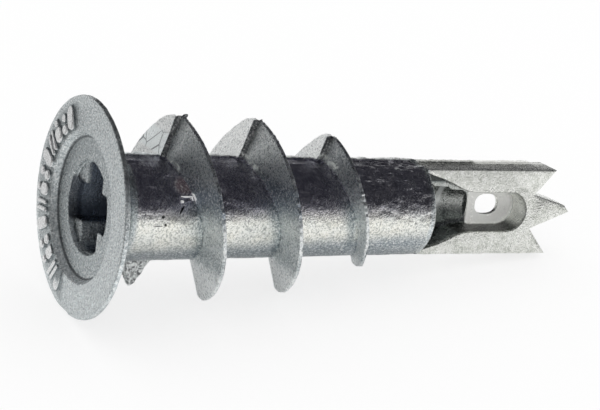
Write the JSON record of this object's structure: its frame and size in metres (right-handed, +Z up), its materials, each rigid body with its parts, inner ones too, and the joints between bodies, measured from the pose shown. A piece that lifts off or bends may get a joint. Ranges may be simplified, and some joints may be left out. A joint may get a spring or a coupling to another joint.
{
  "type": "self-drilling drywall anchor",
  "caption": "Die-cast zinc drywall anchor with a coarse thread, a toothed drilling blade with a slot, and a flat round head with a cross drive and a bore for a screw.",
  "frame": {"origin": "centre of the bounding box in plan, on the table it rests on", "axes": "+X along the anchor from head to point, which dips 6.8 degrees below level, +Z up, +Y to the left seen from the head"},
  "size_m": [0.0387, 0.015, 0.015],
  "materials": {
    "zinc": "as-cast zinc alloy, grey and finely pitted"
  },
  "bodies": {
    "root": {"anchor": "zinc"}
  },
  "joints": []
}
